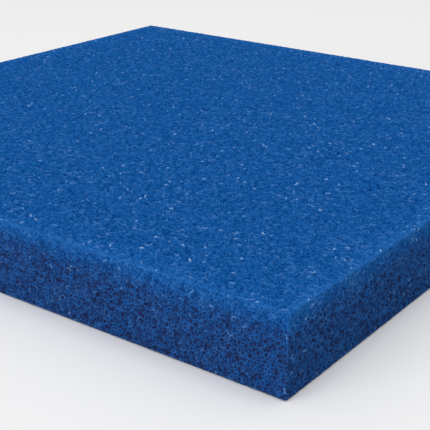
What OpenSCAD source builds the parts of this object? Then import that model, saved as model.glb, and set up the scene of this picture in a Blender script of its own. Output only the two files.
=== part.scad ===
// Filter foam sheet for a pond or aquarium filter.
// One loose slab of reticulated (open-cell) polyurethane foam, cut from a block.
// It lies flat on the filter's media support, and water passes through its thickness.
// Millimetres, +Z up, origin at the centre of the underside. Nothing on it moves.

/* [Sheet] */
// Length of the sheet along X
sheet_length = 500; // [100:5:1000]
// Width of the sheet along Y
sheet_width = 500; // [100:5:1000]
// Thickness of the sheet along Z
sheet_thickness = 50; // [20:1:100]

/* [Cut edges] */
// Radius of the twelve cut edges, where the outermost cells give way
edge_radius = 2; // [0.5:0.5:9]

/* [Look] */
// Colour of the dyed foam
foam_color = "#17529A"; // [#17529A:Blue, #1B1B1D:Black, #2F6B3A:Green]

/* [Hidden] */
$fn = 48;

// Rectangle of size_a by size_b, centred, with its four corners eased to edge_radius
module eased_outline(size_a, size_b) {
    square([size_a - 2 * edge_radius, size_b], center = true);
    square([size_a, size_b - 2 * edge_radius], center = true);
    for (side_a = [-1, 1], side_b = [-1, 1])
        translate([side_a * (size_a / 2 - edge_radius), side_b * (size_b / 2 - edge_radius)])
            circle(r = edge_radius);
}

// An eased outline drawn out along Z, centred
module eased_bar(size_a, size_b, depth) {
    linear_extrude(height = depth, center = true)
        eased_outline(size_a, size_b);
}

// The sheet: what the three bars along X, Y and Z have in common, so all twelve edges are eased
module foam_sheet() {
    color(foam_color)
        translate([0, 0, sheet_thickness / 2])
            intersection() {
                eased_bar(sheet_length, sheet_width, sheet_thickness);
                rotate([90, 0, 0])
                    eased_bar(sheet_length, sheet_thickness, sheet_width);
                rotate([90, 0, 90])
                    eased_bar(sheet_width, sheet_thickness, sheet_length);
            }
}

foam_sheet();
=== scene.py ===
"""Looks of the filter foam sheet: one slab of coarse blue open-cell foam, lying on a pale floor.

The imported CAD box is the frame. The sheet's skin is real geometry: the cut opened bubbles, each a bowl
in the skin, and every bowl is crossed by struts with deep openings between them. Lengths are in metres.
"""
import math

import bpy
import numpy as np
from mathutils import Matrix, Vector
from mathutils.geometry import delaunay_2d_cdt


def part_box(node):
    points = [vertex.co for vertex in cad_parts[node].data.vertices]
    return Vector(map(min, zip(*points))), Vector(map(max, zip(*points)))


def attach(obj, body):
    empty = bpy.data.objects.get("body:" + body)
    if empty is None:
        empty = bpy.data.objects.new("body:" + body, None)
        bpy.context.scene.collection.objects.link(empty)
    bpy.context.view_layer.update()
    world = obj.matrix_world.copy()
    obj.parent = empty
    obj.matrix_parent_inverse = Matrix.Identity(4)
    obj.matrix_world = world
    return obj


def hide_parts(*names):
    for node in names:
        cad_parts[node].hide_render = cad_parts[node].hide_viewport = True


MM = 0.001

# The net of struts
OPENING_PITCH = 2.2 * MM       # mean distance between neighbouring openings, about 11.5 to the inch
OPENING_SCATTER = 0.55         # how far an opening strays from an even spacing, in pitches
STRUT_HALF_WIDTH = 0.30 * MM   # of a strut between two bowls
INNER_STRUT_SHARE = 0.75       # width of a strut inside a bowl, as a share of that
STRUT_BREADTH = (0.9, 1.5)     # and of any strut, at each end
STRUT_LIMIT = 0.45             # widest, as a share of the way to the middle of the opening
STRUT_CROWN = 0.12 * MM        # how far a strut's shoulders lie below its ridge
STRUT_UNEVEN = 0.45 * MM       # unevenness of the cut struts
UNEVEN_POWER = 1.5             # the higher, the more of them lie near the cut
STRUT_TORN = 0.80 * MM         # how much lower the torn ones lie at most
TORN_LEAST = 0.5               # and at least, as a share of that
TORN_SHARE = 0.12

# The openings
OPENING_DEPTH = 1.4 * MM       # below the bowls' surface; half of the openings are deeper
DEPTH_SPREAD = 0.3             # of the logarithm of that
CLOSED_SHARE = 0.05            # of the openings, shallow ones that a film of foam still closes
CLOSED_DEPTH = 0.4             # depth of a closed one, as a share of an open one's

# The bowls
BOWL_PITCH = 4.8 * MM
BOWL_SCATTER = 0.42
BOWL_DEPTH = 0.9 * MM
BOWL_SHALLOW = 0.5             # depth of the shallowest bowl, as a share of that
BOWL_SPREAD = 0.8              # how much more of it the deepest has
BOWL_WALL = 0.7                # how much nearer to its own seed a point well inside is, in pitches

# The slab's cut edges
EDGE_RADIUS = 2.0 * MM         # as the CAD has it
EDGE_SCATTER = 0.30            # how far an opening on an edge strays along it, in pitches
EDGE_CLEARANCE = 0.62          # least distance from an edge to the other openings, in pitches
EDGE_STRUT_BREADTH = 1.2       # of a strut's end on an edge
EDGE_CROWN = 0.3               # crown of the struts round an opening on an edge, as a share
EDGE_DIMPLE = 0.30 * MM        # greatest depth of the openings on an edge
EDGE_DIMPLE_SPREAD = (0.4, 1.0)
EDGE_RIDGE_SPREAD = (0.0, 0.5)  # depth of the nodes between them, as a share of that
EDGE_FADE = 4.0 * MM           # width of the band along an edge in which the bowls fade out
EDGE_SEED = 11
RIM_TOLERANCE = 0.01 * MM
STEEPEST = math.radians(61)    # lean from straight out of its side above which a face is eased
STEEP_EASING = 0.8             # of a steep face's depth, kept in each round
STEEP_ROUNDS = 24

# Painted shade of the pores: how far each point counts as inside the pores, 0 on a strut and 1 deep in
# an opening, and so how much painted shade its colour takes
BOWL_PORE_SHADE = 0.34
TORN_PORE_SHADE = 0.30
SHOULDER_PORE_SHADE = 0.15           # more than the node it belongs to
CLOSED_PORE_SHADE = 0.3
OPEN_PORE_SHADE = (0.7, 1.0)

# Painted light and shade in the foam: the sides are painted darker further below the top, and the
# underside darkest, as light from above would fall. Each length is that in which the light falls to
# about a third.
LIGHT_REACH = 9.0 * MM         # down a side, of the painted light that the openings' colours follow
GLOW_DOWN = 25.0 * MM          # down a side, of the painted glow with light that the top takes in
GLOW_ACROSS = 7.0 * MM         # of that glow on the top, in from the sides
GLOW = 0.22                    # how much brighter the painted glow makes the foam at most
GLOOM = 0.88                   # brightness of the foam, in painted shade, where no light from above is left
# Painted glints: a few struts painted pale as highlights
GLINT_RARITY = 150             # the higher, the fewer struts shine with a painted glint
GLINT_SHOULDER = 0.4           # shine of a strut's shoulder, as a share of its node's
GLINT_IN_SHADE = 0.6           # how much of the painted glint is left where light does not reach

# Colours of the foam: lit and shaded copies painted by how light from above falls, the hollows' painted
# shade, painted glints and a painted glow. A pair runs over the openings' own tones.
STRUT_SHADED = ((0.010, 0.058, 0.22), (0.018, 0.109, 0.345))
STRUT_LIT = ((0.003, 0.066, 0.26), (0.014, 0.126, 0.40))
# Paler struts by their random tone, partly a painted sheen
PALE_STRUT_AND_SHEEN = (0.068, 0.175, 0.43)
STRUT_CLOUDED = (0.008, 0.095, 0.335)
HOLLOW_SHADED = ((0.015, 0.024, 0.085), (0.015, 0.052, 0.187))
HOLLOW_LIT = ((0.002, 0.043, 0.19), (0.005, 0.081, 0.295))
GLINT_FAINT = (0.11, 0.27, 0.56)
GLINT_FULL = (0.75, 0.88, 0.82)
GLOW_COLOUR = (0.022, 0.105, 0.29)

# The surface's fine grain
CLOUD_SCALE = 40.0
GRAIN_SCALE = 900.0
GRAIN_STRENGTH = 0.25
GRAIN_HEIGHT = 0.2 * MM
ROUGHNESS = (0.6, 0.9)

# The stage, in metres and watts
FLOOR_SIZE = 30
FLOOR_GREY = 0.81
FLOOR_ROUGHNESS = 0.9
SOFTBOX_SIZE = 3.0
SOFTBOX_COLOUR = (0.89, 0.92, 1.0)
OVERHEAD_PLACE = (0.8, -0.3, 4.4)
OVERHEAD_POWER = 74
KEY_PLACE = (-1.2, -4.5, 2.0)
KEY_POWER = 96
WORLD_COLOUR = (1.0, 0.98, 0.93)
WORLD_STRENGTH = 0.70

# The camera
VIEW_AZIMUTH = math.radians(36.1)
VIEW_ELEVATION = math.radians(21.6)
VIEW_ROLL = math.radians(0.5)
VIEW_DISTANCE = 1.257          # from the aim, in sheet lengths
VIEW_AIM = (0.288, -0.334)     # on the top face, in sheet lengths and widths
LENS = 87.8                    # mm
SENSOR_WIDTH = 36              # mm

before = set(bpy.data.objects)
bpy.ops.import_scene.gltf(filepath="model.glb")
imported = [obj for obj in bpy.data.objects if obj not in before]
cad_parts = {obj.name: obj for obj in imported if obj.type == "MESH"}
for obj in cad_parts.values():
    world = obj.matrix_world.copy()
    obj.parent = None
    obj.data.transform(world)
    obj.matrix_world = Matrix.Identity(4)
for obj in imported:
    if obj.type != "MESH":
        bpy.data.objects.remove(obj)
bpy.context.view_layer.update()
low, high = (Vector(corner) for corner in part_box("foam_sheet"))
size = high - low
centre = (low + high) / 2


# ---------------------------------------------------------------- the net of struts

def scattered_grid(width, height, pitch, scatter, margin, rng):
    """Points over a width x height patch and margin rows beyond it: a hexagonal grid, each strayed."""
    rows = round(height / (pitch * math.sqrt(0.75)))
    columns = round(width / pitch)
    u, v = np.meshgrid(np.arange(-margin, columns + margin), np.arange(-margin, rows + margin))
    points = np.stack([(u + 0.5 * (v % 2) + 0.25) * width / columns - width / 2,
                       (v + 0.5) * height / rows - height / 2], -1)
    return points + rng.uniform(-scatter, scatter, points.shape) * pitch


def edge_run(axes, along, across, side, half):
    """The openings on one edge of a patch, the same for the two sides of the slab that meet there.

    Returns where they lie along the patch's own axis, how deep they are, and how deep the nodes
    between them are."""
    # The edge's own number, whichever of its two sides asks.
    corner = axes[2] + side * axes[across]
    rng = np.random.default_rng([EDGE_SEED, int((corner + 1) @ (1, 3, 9))])
    length = unrolled(half[along])
    count = round(length / OPENING_PITCH)
    place = (np.arange(count) + 0.5) * (length / count) - length / 2
    place += rng.uniform(-EDGE_SCATTER, EDGE_SCATTER, count) * OPENING_PITCH
    dimple = EDGE_DIMPLE * rng.uniform(*EDGE_DIMPLE_SPREAD, count)
    ridge = EDGE_DIMPLE * rng.uniform(*EDGE_RIDGE_SPREAD, count - 1)
    if axes[along].sum() < 0:
        return -place[::-1], dimple[::-1], ridge[::-1]
    return place, dimple, ridge


def edge_openings(axes, half):
    """Openings on the four edges of a patch: where, how deep, and how deep the node after each is."""
    where, dimples, ridges = [], [], []
    for along, across in ((0, 1), (1, 0)):
        for side in (-1, 1):
            place, dimple, ridge = edge_run(axes, along, across, side, half)
            row = np.empty((len(place), 2))
            row[:, along] = place
            row[:, across] = side * unrolled(half[across]) / 2
            where.append(row)
            dimples.append(dimple)
            ridges.append(np.append(ridge, 0.0))
    return np.concatenate(where), np.concatenate(dimples), np.concatenate(ridges)


def strut_net(openings, ridges, width, height):
    """The net of struts that parts the openings.

    Returns the nodes, the depth of those on an edge, how many lie inside, and each strut as its two
    openings and two nodes."""
    points = [Vector(p) for p in (openings / OPENING_PITCH).tolist()]
    triangles = np.array(delaunay_2d_cdt(points, [], [], 0, 1e-7)[2])
    count = len(triangles)

    pairs = np.sort(np.stack([triangles, np.roll(triangles, -1, 1)], -1).reshape(-1, 2), 1)
    owner = np.repeat(np.arange(count), 3)
    order = np.lexsort((pairs[:, 1], pairs[:, 0]))
    pairs, owner = pairs[order], owner[order]
    same = np.all(pairs[1:] == pairs[:-1], 1)
    first = np.flatnonzero(same)
    alone = np.flatnonzero(~np.r_[same, False] & ~np.r_[False, same])

    # A strut that reaches an edge ends half way between two openings there, or in the patch's corner.
    one, other = openings[pairs[alone, 0]], openings[pairs[alone, 1]]
    ends = (one + other) / 2
    turn = np.all(abs(one - other) > 0.1 * OPENING_PITCH, 1)
    ends[turn] = np.sign(ends[turn]) * [width / 2, height / 2]
    end_depth = np.where(turn, 0.0, ridges[pairs[alone, 0]])

    nodes = np.concatenate([openings[triangles].mean(1), ends])
    end_nodes = count + np.arange(len(alone))
    struts = np.concatenate([np.column_stack([pairs[first], owner[first], owner[first + 1]]),
                             np.column_stack([pairs[alone], owner[alone], end_nodes])])
    return nodes, end_depth, count, struts


def bowls(points, seeds, values):
    """How far inside a bowl each point is, 0 on a wall and 1 well inside, and its bowl's own value."""
    rows, columns = seeds.shape[:2]
    step = seeds[1:, 1:].mean((0, 1)) - seeds[:-1, :-1].mean((0, 1))
    start = seeds.mean((0, 1)) - step * [(columns - 1) / 2, (rows - 1) / 2]
    column, row = np.rint((points - start) / step).astype(int).T
    nearest = np.full(len(points), np.inf)
    second = np.full(len(points), np.inf)
    value = np.zeros(len(points))
    for down in range(-2, 3):
        for right in range(-2, 3):
            r = np.clip(row + down, 0, rows - 1)
            c = np.clip(column + right, 0, columns - 1)
            away = np.linalg.norm(points - seeds[r, c], axis=1)
            closer = away < nearest
            runner_up = np.where(away > nearest, np.minimum(second, away), second)
            second = np.where(closer, nearest, runner_up)
            value = np.where(closer, values[r, c], value)
            nearest = np.minimum(nearest, away)
    inside = np.clip((second - nearest) / (BOWL_WALL * BOWL_PITCH), 0, 1)
    return inside * (2 - inside), value


def cross(a, b):
    """Twice the area between two flat vectors, above 0 when b lies counter-clockwise of a."""
    return a[:, 0] * b[:, 1] - a[:, 1] * b[:, 0]


def foam_patch(axes, half, seed):
    """One side's skin, flat.

    Returns points (u, v, depth below the skin), the struts' flanks as quads, the openings' walls as
    fans of triangles, and the per-point values."""
    rng = np.random.default_rng(seed)
    width, height = unrolled(half[0]), unrolled(half[1])
    edge, dimples, ridges = edge_openings(axes, half)
    inner = scattered_grid(width, height, OPENING_PITCH, OPENING_SCATTER, 1, rng).reshape(-1, 2)
    room = np.array([width, height]) / 2 - abs(inner)
    openings = np.concatenate([edge, inner[np.all(room > EDGE_CLEARANCE * OPENING_PITCH, 1)]])
    nodes, end_depth, inner_nodes, struts = strut_net(openings, ridges, width, height)

    # Each strut once from either opening, its ends in counter-clockwise order round that opening.
    opening = np.concatenate([struts[:, 0], struts[:, 1]])
    a = np.concatenate([struts[:, 2], struts[:, 2]])
    b = np.concatenate([struts[:, 3], struts[:, 3]])
    clockwise = cross(nodes[a] - openings[opening], nodes[b] - openings[opening]) < 0
    a, b = np.where(clockwise, b, a), np.where(clockwise, a, b)

    # An opening's floor is in the middle of its nodes, as long as they go round that point, or on
    # the edge itself.
    total = np.zeros((len(openings), 3))
    np.add.at(total, opening, np.column_stack([nodes[a] + nodes[b], np.full(len(a), 2.0)]))
    floors = total[:, :2] / total[:, 2:]
    folded = opening[cross(nodes[a] - floors[opening], nodes[b] - floors[opening]) <= 0]
    floors[folded] = openings[folded]
    floors[:len(edge)] = edge

    seeds = scattered_grid(width, height, BOWL_PITCH, BOWL_SCATTER, 3, rng)
    bowl_value = rng.random(seeds.shape[:2])
    node_in, node_bowl = bowls(nodes, seeds, bowl_value)
    floor_in, floor_bowl = bowls(floors, seeds, bowl_value)

    def sunk(points, inside, value):
        """Depth of the bowls, which fade out towards the slab's edges."""
        from_edge = (np.array([width, height]) / 2 - abs(points)).min(1)
        fade = np.clip(from_edge / EDGE_FADE, 0, 1)
        return BOWL_DEPTH * inside * (BOWL_SHALLOW + BOWL_SPREAD * value) * fade

    uneven = STRUT_UNEVEN * rng.random(len(nodes)) ** UNEVEN_POWER
    depth = sunk(nodes, node_in, node_bowl) + uneven
    torn = rng.random(len(nodes)) < TORN_SHARE
    depth[torn] += STRUT_TORN * rng.uniform(TORN_LEAST, 1.0, torn.sum())
    depth[inner_nodes:] = end_depth

    # Shoulders: where an opening begins beside each of its nodes.
    keys, index = np.unique(np.concatenate([opening * len(nodes) + a, opening * len(nodes) + b]),
                            return_inverse=True)
    shoulder_a, shoulder_b = index[:len(a)], index[len(a):]
    of_opening, of_node = keys // len(nodes), keys % len(nodes)
    inward = floors[of_opening] - nodes[of_node]
    reach = np.linalg.norm(inward, axis=1)
    on_edge = of_opening < len(edge)
    broad = (1 - (1 - INNER_STRUT_SHARE) * node_in[of_node]) * rng.uniform(*STRUT_BREADTH, len(reach))
    broad[on_edge & (of_node >= inner_nodes)] = EDGE_STRUT_BREADTH
    step = np.minimum(STRUT_HALF_WIDTH * broad, STRUT_LIMIT * reach) / reach
    shoulders = nodes[of_node] + inward * step[:, None]
    shoulder_depth = depth[of_node] + np.where(on_edge, EDGE_CROWN, 1.0) * STRUT_CROWN

    below_cut = OPENING_DEPTH * rng.lognormal(0, DEPTH_SPREAD, len(floors))
    deep = sunk(floors, floor_in, floor_bowl) + below_cut
    closed = rng.random(len(floors)) < CLOSED_SHARE
    deep[closed] *= CLOSED_DEPTH
    deep[:len(edge)] = dimples

    n, s = len(nodes), len(shoulders)
    points = np.concatenate([np.column_stack([nodes, depth]),
                             np.column_stack([shoulders, shoulder_depth]),
                             np.column_stack([floors, deep])])
    quads = np.stack([a, b, n + shoulder_b, n + shoulder_a], 1)
    fans = np.stack([n + shoulder_a, n + shoulder_b, n + s + opening], 1)

    # Painted shade: the openings take the most, nodes deep in a bowl or torn lower take some, closed
    # openings less
    node_pore_shade = BOWL_PORE_SHADE * node_in * node_bowl + TORN_PORE_SHADE * torn
    node_pore_shade[inner_nodes:] = 0.0
    floor_pore_shade = np.where(closed, CLOSED_PORE_SHADE, rng.uniform(*OPEN_PORE_SHADE, len(floors)))
    tone = rng.random(len(openings))
    # Painted glints on both end nodes of a few struts, fainter on their shoulders
    shine = rng.random(len(struts)) ** GLINT_RARITY
    painted_glint = np.zeros(n)
    np.maximum.at(painted_glint, struts[:, 2], shine)
    np.maximum.at(painted_glint, struts[:, 3], shine)
    values = {
        "pore_shade": np.concatenate([node_pore_shade, node_pore_shade[of_node] + SHOULDER_PORE_SHADE, floor_pore_shade]),
        "tone": np.concatenate([rng.random(n), tone[of_opening], tone]),
        "painted_glint": np.concatenate([painted_glint, GLINT_SHOULDER * painted_glint[of_node], np.zeros(len(floors))]),
    }
    return points, quads, fans, values


# ---------------------------------------------------------------- patches on the slab

def unrolled(half):
    """Full length of a patch across a side of half that length, out to the middle of both edges."""
    return 2 * (half - EDGE_RADIUS) + EDGE_RADIUS * math.pi / 2


def wrapped(points, axes, half):
    """Patch points folded onto one side of the slab, whose eased edges it shares with its neighbours.

    axes are the patch's own u, v and outward directions as slab axes; half is half the slab's size
    along each of them."""
    flat = half - EDGE_RADIUS
    place = np.empty((len(points), 3))
    lean = np.ones((len(points), 3))
    for k in (0, 1):
        past = np.clip((abs(points[:, k]) - flat[k]) / EDGE_RADIUS, 0, math.pi / 4)
        lean[:, k] = np.sign(points[:, k]) * np.tan(past)
        place[:, k] = np.clip(points[:, k], -flat[k], flat[k])
    place[:, 2] = flat[2]
    lean /= np.linalg.norm(lean, axis=1)[:, None]
    place += lean * (EDGE_RADIUS - points[:, 2:])
    return place @ axes


def eased(points, triangles, axes, half):
    """The same points with the steepest faces made shallower, round by round.

    The points on the rim stay as they are, for the next side shares them. A few faces stay steep or
    folded."""
    rim = np.array([unrolled(half[0]), unrolled(half[1])]) / 2
    on_rim = np.any(abs(points[:, :2]) > rim - RIM_TOLERANCE, 1)
    depth = points[:, 2].copy()
    for _ in range(STEEP_ROUNDS):
        place = wrapped(np.column_stack([points[:, :2], depth]), axes, half)
        corner = place[triangles]
        normal = np.cross(corner[:, 1] - corner[:, 0], corner[:, 2] - corner[:, 0])
        upright = normal @ axes[2] / np.linalg.norm(normal, axis=1)
        steep = triangles[upright < math.cos(STEEPEST)]
        if not len(steep):
            break
        top = depth[steep].min(1)[:, None]
        np.minimum.at(depth, steep, top + (depth[steep] - top) * STEEP_EASING)
        depth[on_rim] = points[on_rim, 2]
    return np.column_stack([points[:, :2], depth])


def add_mesh(name, points, quads, fans, values):
    """A smooth-shaded mesh object from numpy arrays, with its per-point values as attributes."""
    mesh = bpy.data.meshes.new(name)
    mesh.vertices.add(len(points))
    mesh.vertices.foreach_set("co", points.astype(np.float32).ravel())
    corners = np.concatenate([quads.ravel(), fans.ravel()]).astype(np.int32)
    starts = np.concatenate([np.arange(len(quads)) * 4, len(quads) * 4 + np.arange(len(fans)) * 3])
    mesh.loops.add(len(corners))
    mesh.loops.foreach_set("vertex_index", corners)
    mesh.polygons.add(len(starts))
    mesh.polygons.foreach_set("loop_start", starts.astype(np.int32))
    mesh.update(calc_edges=True)
    mesh.shade_smooth()
    for key, value in values.items():
        mesh.attributes.new(key, "FLOAT", "POINT").data.foreach_set("value", value.astype(np.float32))
    mesh.validate()
    obj = bpy.data.objects.new(name, mesh)
    bpy.context.collection.objects.link(obj)
    return obj


def foam_side(name, axes, seed, material):
    """One of the slab's six sides as a piece of foam skin."""
    axes = np.array(axes)
    half = abs(axes @ np.array(size)) / 2
    points, quads, fans, values = foam_patch(axes, half, seed)
    triangles = np.concatenate([quads[:, :3], quads[:, [0, 2, 3]], fans])
    place = wrapped(eased(points, triangles, axes, half), axes, half)
    # Painted light and shade: light from above fades down the sides, and the underside stays in painted
    # shade
    below_top = size.z / 2 - place[:, 2]
    from_side = (np.array(size) / 2 - abs(place))[:, :2].min(1)
    light = np.exp(-below_top / LIGHT_REACH)
    glow = np.exp(-below_top / GLOW_DOWN - from_side / GLOW_ACROSS)
    values["light"] = light
    # Painted light level: painted shade low on the sides and a painted glow near the top edges
    values["painted_light_level"] = GLOOM + (1 - GLOOM) * light + GLOW * glow
    obj = add_mesh(name, place + np.array(centre), quads, fans, values)
    obj.data.materials.append(material)
    return obj


# ---------------------------------------------------------------- materials

class Nodes:
    """Short calls for building a node tree."""

    def __init__(self, material):
        self.tree = material.node_tree
        self.shader = self.tree.nodes["Principled BSDF"]

    def add(self, kind, inputs=None, **settings):
        node = self.tree.nodes.new(kind)
        for key, value in settings.items():
            setattr(node, key, value)
        for key, value in (inputs or {}).items():
            if isinstance(value, bpy.types.NodeSocket):
                self.tree.links.new(value, node.inputs[key])
            else:
                node.inputs[key].default_value = value
        return node

    def noise(self, where, scale, detail):
        inputs = {"Vector": where, "Scale": scale, "Detail": detail}
        return self.add("ShaderNodeTexNoise", inputs).outputs["Fac"]

    def attribute(self, name):
        return self.add("ShaderNodeAttribute", attribute_name=name).outputs["Fac"]

    def ramp(self, value, low, high, to_low=0.0, to_high=1.0):
        """A smooth step from to_low where value is low, to to_high where it is high."""
        return self.add("ShaderNodeMapRange", {"Value": value, "From Min": low, "From Max": high,
                                               "To Min": to_low, "To Max": to_high},
                        interpolation_type="SMOOTHSTEP").outputs["Result"]

    def maths(self, operation, a, b):
        return self.add("ShaderNodeMath", {0: a, 1: b}, operation=operation).outputs[0]

    def mix(self, share, a, b, blend="MIX"):
        node = self.add("ShaderNodeMix", {"Factor": share}, data_type="RGBA", blend_type=blend)
        for socket, value in (("A", a), ("B", b)):
            target = next(i for i in node.inputs if i.name == socket and i.type == "RGBA")
            if isinstance(value, bpy.types.NodeSocket):
                self.tree.links.new(value, target)
            else:
                target.default_value = (*value, 1.0)
        return next(o for o in node.outputs if o.type == "RGBA")

    def drive(self, name, source):
        self.tree.links.new(source, self.shader.inputs[name])


def foam_material():
    """Blue foam: lighter struts, pores darker with painted shade, both bluer in painted light, and
    painted glints on a few struts.
    """
    material = bpy.data.materials.new("blue_filter_foam")
    material.use_nodes = True
    n = Nodes(material)
    where = n.add("ShaderNodeTexCoord").outputs["Object"]
    cloud = n.noise(where, CLOUD_SCALE, 3.0)
    grain = n.noise(where, GRAIN_SCALE, 2.0)
    tone = n.attribute("tone")
    light = n.attribute("light")

    # Lit and shaded copies of the struts' colour, mixed by the painted light
    strut = n.mix(light, n.mix(tone, *STRUT_SHADED), n.mix(tone, *STRUT_LIT))
    # Paler struts by their random tone, partly a painted sheen
    strut = n.mix(n.ramp(tone, 0.6, 1.0, 0.0, 0.8), strut, PALE_STRUT_AND_SHEEN)
    strut = n.mix(n.ramp(cloud, 0.3, 0.7, 0.0, 0.6), strut, STRUT_CLOUDED)
    # Lit and shaded copies of the hollows' colour, mixed by the painted light
    hollow_in_painted_shade = n.mix(n.ramp(tone, 0.1, 0.9), *HOLLOW_SHADED)
    hollow_in_painted_light = n.mix(tone, *HOLLOW_LIT)
    painted_hollow_shade = n.mix(n.ramp(light, 0.05, 0.6), hollow_in_painted_shade, hollow_in_painted_light)
    # Painted shade in the openings, less of it where the painted light reaches
    inside = n.maths("SUBTRACT", n.attribute("pore_shade"), n.ramp(light, 0.0, 1.0, 0.0, 0.12))
    colour = n.mix(n.ramp(inside, 0.05, 0.45), strut, painted_hollow_shade)
    # Painted glints, weaker in the painted shade
    painted_glint = n.maths("MULTIPLY", n.attribute("painted_glint"), n.ramp(light, 0.0, 1.0, GLINT_IN_SHADE, 1.0))
    colour = n.mix(n.ramp(painted_glint, 0.0, 0.5), colour, GLINT_FAINT)
    colour = n.mix(n.ramp(painted_glint, 0.5, 1.0), colour, GLINT_FULL)
    # Painted glow and painted shade: the painted light level tints the colour near the top edges and
    # scales it
    painted_light_level = n.attribute("painted_light_level")
    colour = n.mix(n.ramp(painted_light_level, 1.0, 1 + GLOW, 0.0, 0.3), colour, GLOW_COLOUR)
    colour = n.add("ShaderNodeVectorMath", {"Vector": colour, "Scale": painted_light_level},
                   operation="SCALE").outputs["Vector"]
    n.drive("Base Color", colour)

    n.drive("Roughness", n.ramp(grain, 0.3, 0.7, *ROUGHNESS))
    bump = n.add("ShaderNodeBump", {"Strength": GRAIN_STRENGTH,
                                    "Distance": GRAIN_HEIGHT,
                                    "Height": grain})
    n.drive("Normal", bump.outputs["Normal"])
    n.shader.inputs["Specular IOR Level"].default_value = 0.0
    return material


def floor_material():
    material = bpy.data.materials.new("pale_floor")
    material.use_nodes = True
    shader = material.node_tree.nodes["Principled BSDF"]
    shader.inputs["Base Color"].default_value = (FLOOR_GREY, FLOOR_GREY, FLOOR_GREY, 1)
    shader.inputs["Roughness"].default_value = FLOOR_ROUGHNESS
    shader.inputs["Specular IOR Level"].default_value = 0.0
    return material


# ---------------------------------------------------------------- the sheet

X, Y, Z = np.eye(3)
SIDES = {
    "foam_top": (X, Y, Z),
    "foam_underside": (X, -Y, -Z),
    "foam_front": (X, Z, -Y),
    "foam_back": (-X, Z, Y),
    "foam_right": (Y, Z, X),
    "foam_left": (-Y, Z, -X),
}

foam = foam_material()
pieces = [foam_side(name, axes, seed, foam) for seed, (name, axes) in enumerate(SIDES.items())]
for piece in pieces:
    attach(piece, "root")
    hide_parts("foam_sheet")


# ---------------------------------------------------------------- stage, light and camera

def add_floor():
    bpy.ops.mesh.primitive_plane_add(size=FLOOR_SIZE, location=(centre.x, centre.y, low.z))
    floor = bpy.context.object
    floor.name = "floor"
    floor.data.materials.append(floor_material())


def add_softbox(name, place, power):
    light = bpy.data.lights.new(name, "AREA")
    light.shape = "SQUARE"
    light.size = SOFTBOX_SIZE
    light.energy = power
    light.color = SOFTBOX_COLOUR
    obj = bpy.data.objects.new(name, light)
    bpy.context.collection.objects.link(obj)
    obj.location = place
    obj.rotation_euler = (centre - Vector(place)).to_track_quat("-Z", "Y").to_euler()


def add_world():
    world = bpy.data.worlds.new("studio")
    bpy.context.scene.world = world
    world.use_nodes = True
    background = world.node_tree.nodes["Background"]
    background.inputs["Color"].default_value = (*WORLD_COLOUR, 1)
    background.inputs["Strength"].default_value = WORLD_STRENGTH


def add_camera():
    camera = bpy.data.objects.new("camera", bpy.data.cameras.new("camera"))
    bpy.context.collection.objects.link(camera)
    camera.data.lens = LENS
    camera.data.sensor_width = SENSOR_WIDTH
    aim = Vector((centre.x + VIEW_AIM[0] * size.x, centre.y + VIEW_AIM[1] * size.y, high.z))
    turn = (Matrix.Rotation(VIEW_AZIMUTH, 4, "Z")
            @ Matrix.Rotation(math.pi / 2 - VIEW_ELEVATION, 4, "X")
            @ Matrix.Rotation(VIEW_ROLL, 4, "Z"))
    back = Matrix.Translation((0, 0, VIEW_DISTANCE * size.x))
    camera.matrix_world = Matrix.Translation(aim) @ turn @ back
    bpy.context.scene.camera = camera


add_floor()
add_softbox("overhead", OVERHEAD_PLACE, OVERHEAD_POWER)
add_softbox("key", KEY_PLACE, KEY_POWER)
add_world()
add_camera()
bpy.context.scene.view_settings.view_transform = "Standard"
